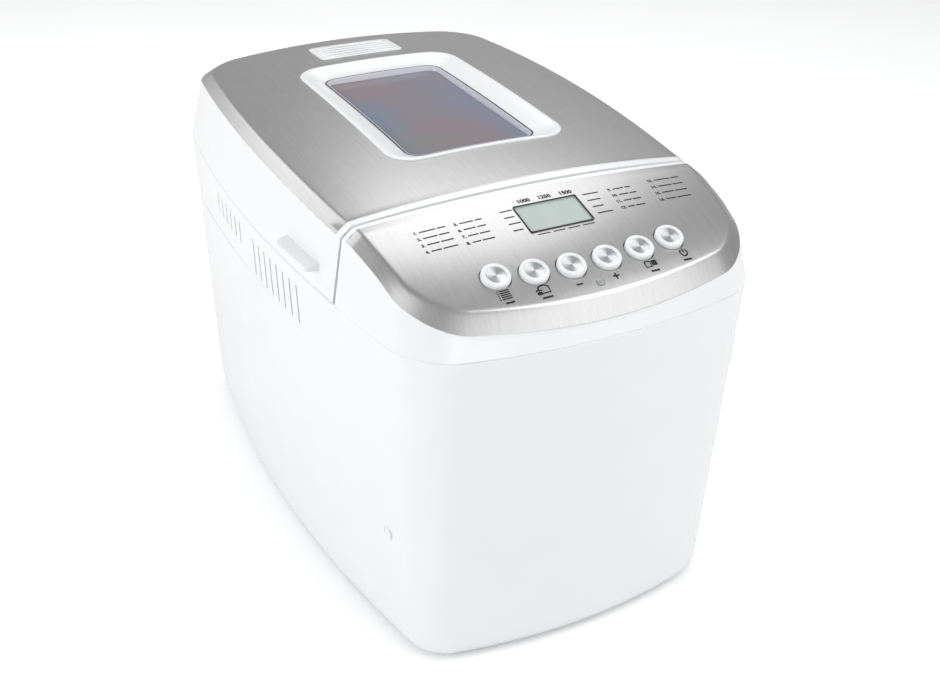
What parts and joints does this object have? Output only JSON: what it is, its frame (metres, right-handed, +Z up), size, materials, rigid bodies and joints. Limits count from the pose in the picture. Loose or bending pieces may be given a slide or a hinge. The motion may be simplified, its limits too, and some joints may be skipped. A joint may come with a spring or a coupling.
{
  "type": "bread machine",
  "caption": "Bread machine with a tapered housing, sloping button panel, hinged windowed lid, lift-out pan with bail, paddle and belt drive.",
  "frame": {"origin": "centre of the footprint on the surface that the feet stand on", "axes": "+X across the width, +Y from the control panel towards the hinge, +Z up"},
  "size_m": [0.2612, 0.4196, 0.2759],
  "materials": {
    "white_gloss": "gloss",
    "white_satin": "satin",
    "brushed_steel": "brushed",
    "spun_metal": "spun",
    "sheet_steel": "satin",
    "zinc_plate": "zinc plated",
    "clear_pane": "clear",
    "display_glass": "gloss",
    "dark_plastic": "matte",
    "rubber_black": "matte",
    "nonstick": "non-stick coating",
    "circuit_board": "satin",
    "lens_clear": "gloss",
    "ceramic": "glazed",
    "cast_alloy": "cast",
    "element_sheath": "dark oxide"
  },
  "bodies": {
    "base": {"lower_housing": "white_gloss", "base_plate": "white_satin", "feet": "rubber_black", "base_screws": "zinc_plate", "screw_plugs": "white_gloss", "mains_gland": "dark_plastic", "control_housing": "white_gloss", "control_panel": "brushed_steel", "display_bezel": "dark_plastic", "display_window": "display_glass", "control_board": "circuit_board", "indicator_lens": "lens_clear", "top_deck": "white_satin", "hinge_brackets": "white_satin", "hinge_pins": "zinc_plate", "baking_chamber": "sheet_steel", "pan_seat": "sheet_steel", "heating_element": "element_sheath", "heater_terminals": "ceramic", "temperature_sensor": "zinc_plate", "chassis_plate": "zinc_plate", "bearing_housing": "cast_alloy", "motor": "cast_alloy", "motor_bracket": "zinc_plate", "drive_belt": "rubber_black", "power_board": "circuit_board"},
    "lid": {"lid_shell": "white_gloss", "lid_skin": "brushed_steel", "window_frame": "white_gloss", "window_pane": "clear_pane", "inner_glass": "clear_pane", "lid_liner": "sheet_steel", "steam_vent": "white_gloss", "lid_hinges": "white_satin", "liner_screws": "zinc_plate"},
    "pan": {"bread_pan": "nonstick", "pan_base_ring": "cast_alloy", "pan_bearing": "cast_alloy", "bail_lugs": "sheet_steel"},
    "bail": {"bail_handle": "sheet_steel"},
    "paddle": {"kneading_paddle": "nonstick", "paddle_shaft": "sheet_steel", "pan_coupling": "zinc_plate"},
    "drive": {"drive_shaft": "sheet_steel", "drive_pulley": "dark_plastic", "drive_coupling": "zinc_plate"},
    "motor_rotor": {"motor_pulley": "zinc_plate"},
    "menu_key": {"menu_button": "white_gloss", "menu_disc": "spun_metal"},
    "weight_key": {"weight_button": "white_gloss", "weight_disc": "spun_metal"},
    "minus_key": {"minus_button": "white_gloss", "minus_disc": "spun_metal"},
    "plus_key": {"plus_button": "white_gloss", "plus_disc": "spun_metal"},
    "crust_key": {"crust_button": "white_gloss", "crust_disc": "spun_metal"},
    "start_key": {"start_button": "white_gloss", "start_disc": "spun_metal"}
  },
  "joints": [
    {"name": "lid_hinge", "type": "hinge", "parent": "base", "child": "lid", "pos_m": [0, 0.2053, 0.2175], "axis": [-1, 0, 0], "range_deg": [0, 75]},
    {"name": "pan_lift", "type": "slide", "parent": "base", "child": "pan", "axis": [0, 0, 1], "range_m": [0, 0.03]},
    {"name": "bail_swing", "type": "hinge", "parent": "pan", "child": "bail", "pos_m": [0, 0.036, 0.195], "axis": [0, -1, 0], "range_deg": [0, 38]},
    {"name": "drive_spin", "type": "hinge", "parent": "base", "child": "drive", "pos_m": [0, 0.036, 0.05], "axis": [0, 0, 1], "continuous": true},
    {"name": "paddle_spin", "type": "hinge", "parent": "pan", "child": "paddle", "pos_m": [0, 0.036, 0.09], "axis": [0, 0, 1], "continuous": true},
    {"name": "motor_spin", "type": "hinge", "parent": "base", "child": "motor_rotor", "pos_m": [-0.03, -0.146, 0.05], "axis": [0, 0, 1], "continuous": true},
    {"name": "menu_press", "type": "slide", "parent": "base", "child": "menu_key", "axis": [0, 0.3846, -0.9231], "range_m": [0, 0.0012], "stiffness_N_per_m": 400},
    {"name": "weight_press", "type": "slide", "parent": "base", "child": "weight_key", "axis": [0, 0.3846, -0.9231], "range_m": [0, 0.0012], "stiffness_N_per_m": 400},
    {"name": "minus_press", "type": "slide", "parent": "base", "child": "minus_key", "axis": [0, 0.3846, -0.9231], "range_m": [0, 0.0012], "stiffness_N_per_m": 400},
    {"name": "plus_press", "type": "slide", "parent": "base", "child": "plus_key", "axis": [0, 0.3846, -0.9231], "range_m": [0, 0.0012], "stiffness_N_per_m": 400},
    {"name": "crust_press", "type": "slide", "parent": "base", "child": "crust_key", "axis": [0, 0.3846, -0.9231], "range_m": [0, 0.0012], "stiffness_N_per_m": 400},
    {"name": "start_press", "type": "slide", "parent": "base", "child": "start_key", "axis": [0, 0.3846, -0.9231], "range_m": [0, 0.0012], "stiffness_N_per_m": 400}
  ],
  "couplings": [
    {"joint": "paddle_spin", "follows": "drive_spin", "ratio": 1},
    {"joint": "motor_spin", "follows": "drive_spin", "ratio": 5}
  ]
}
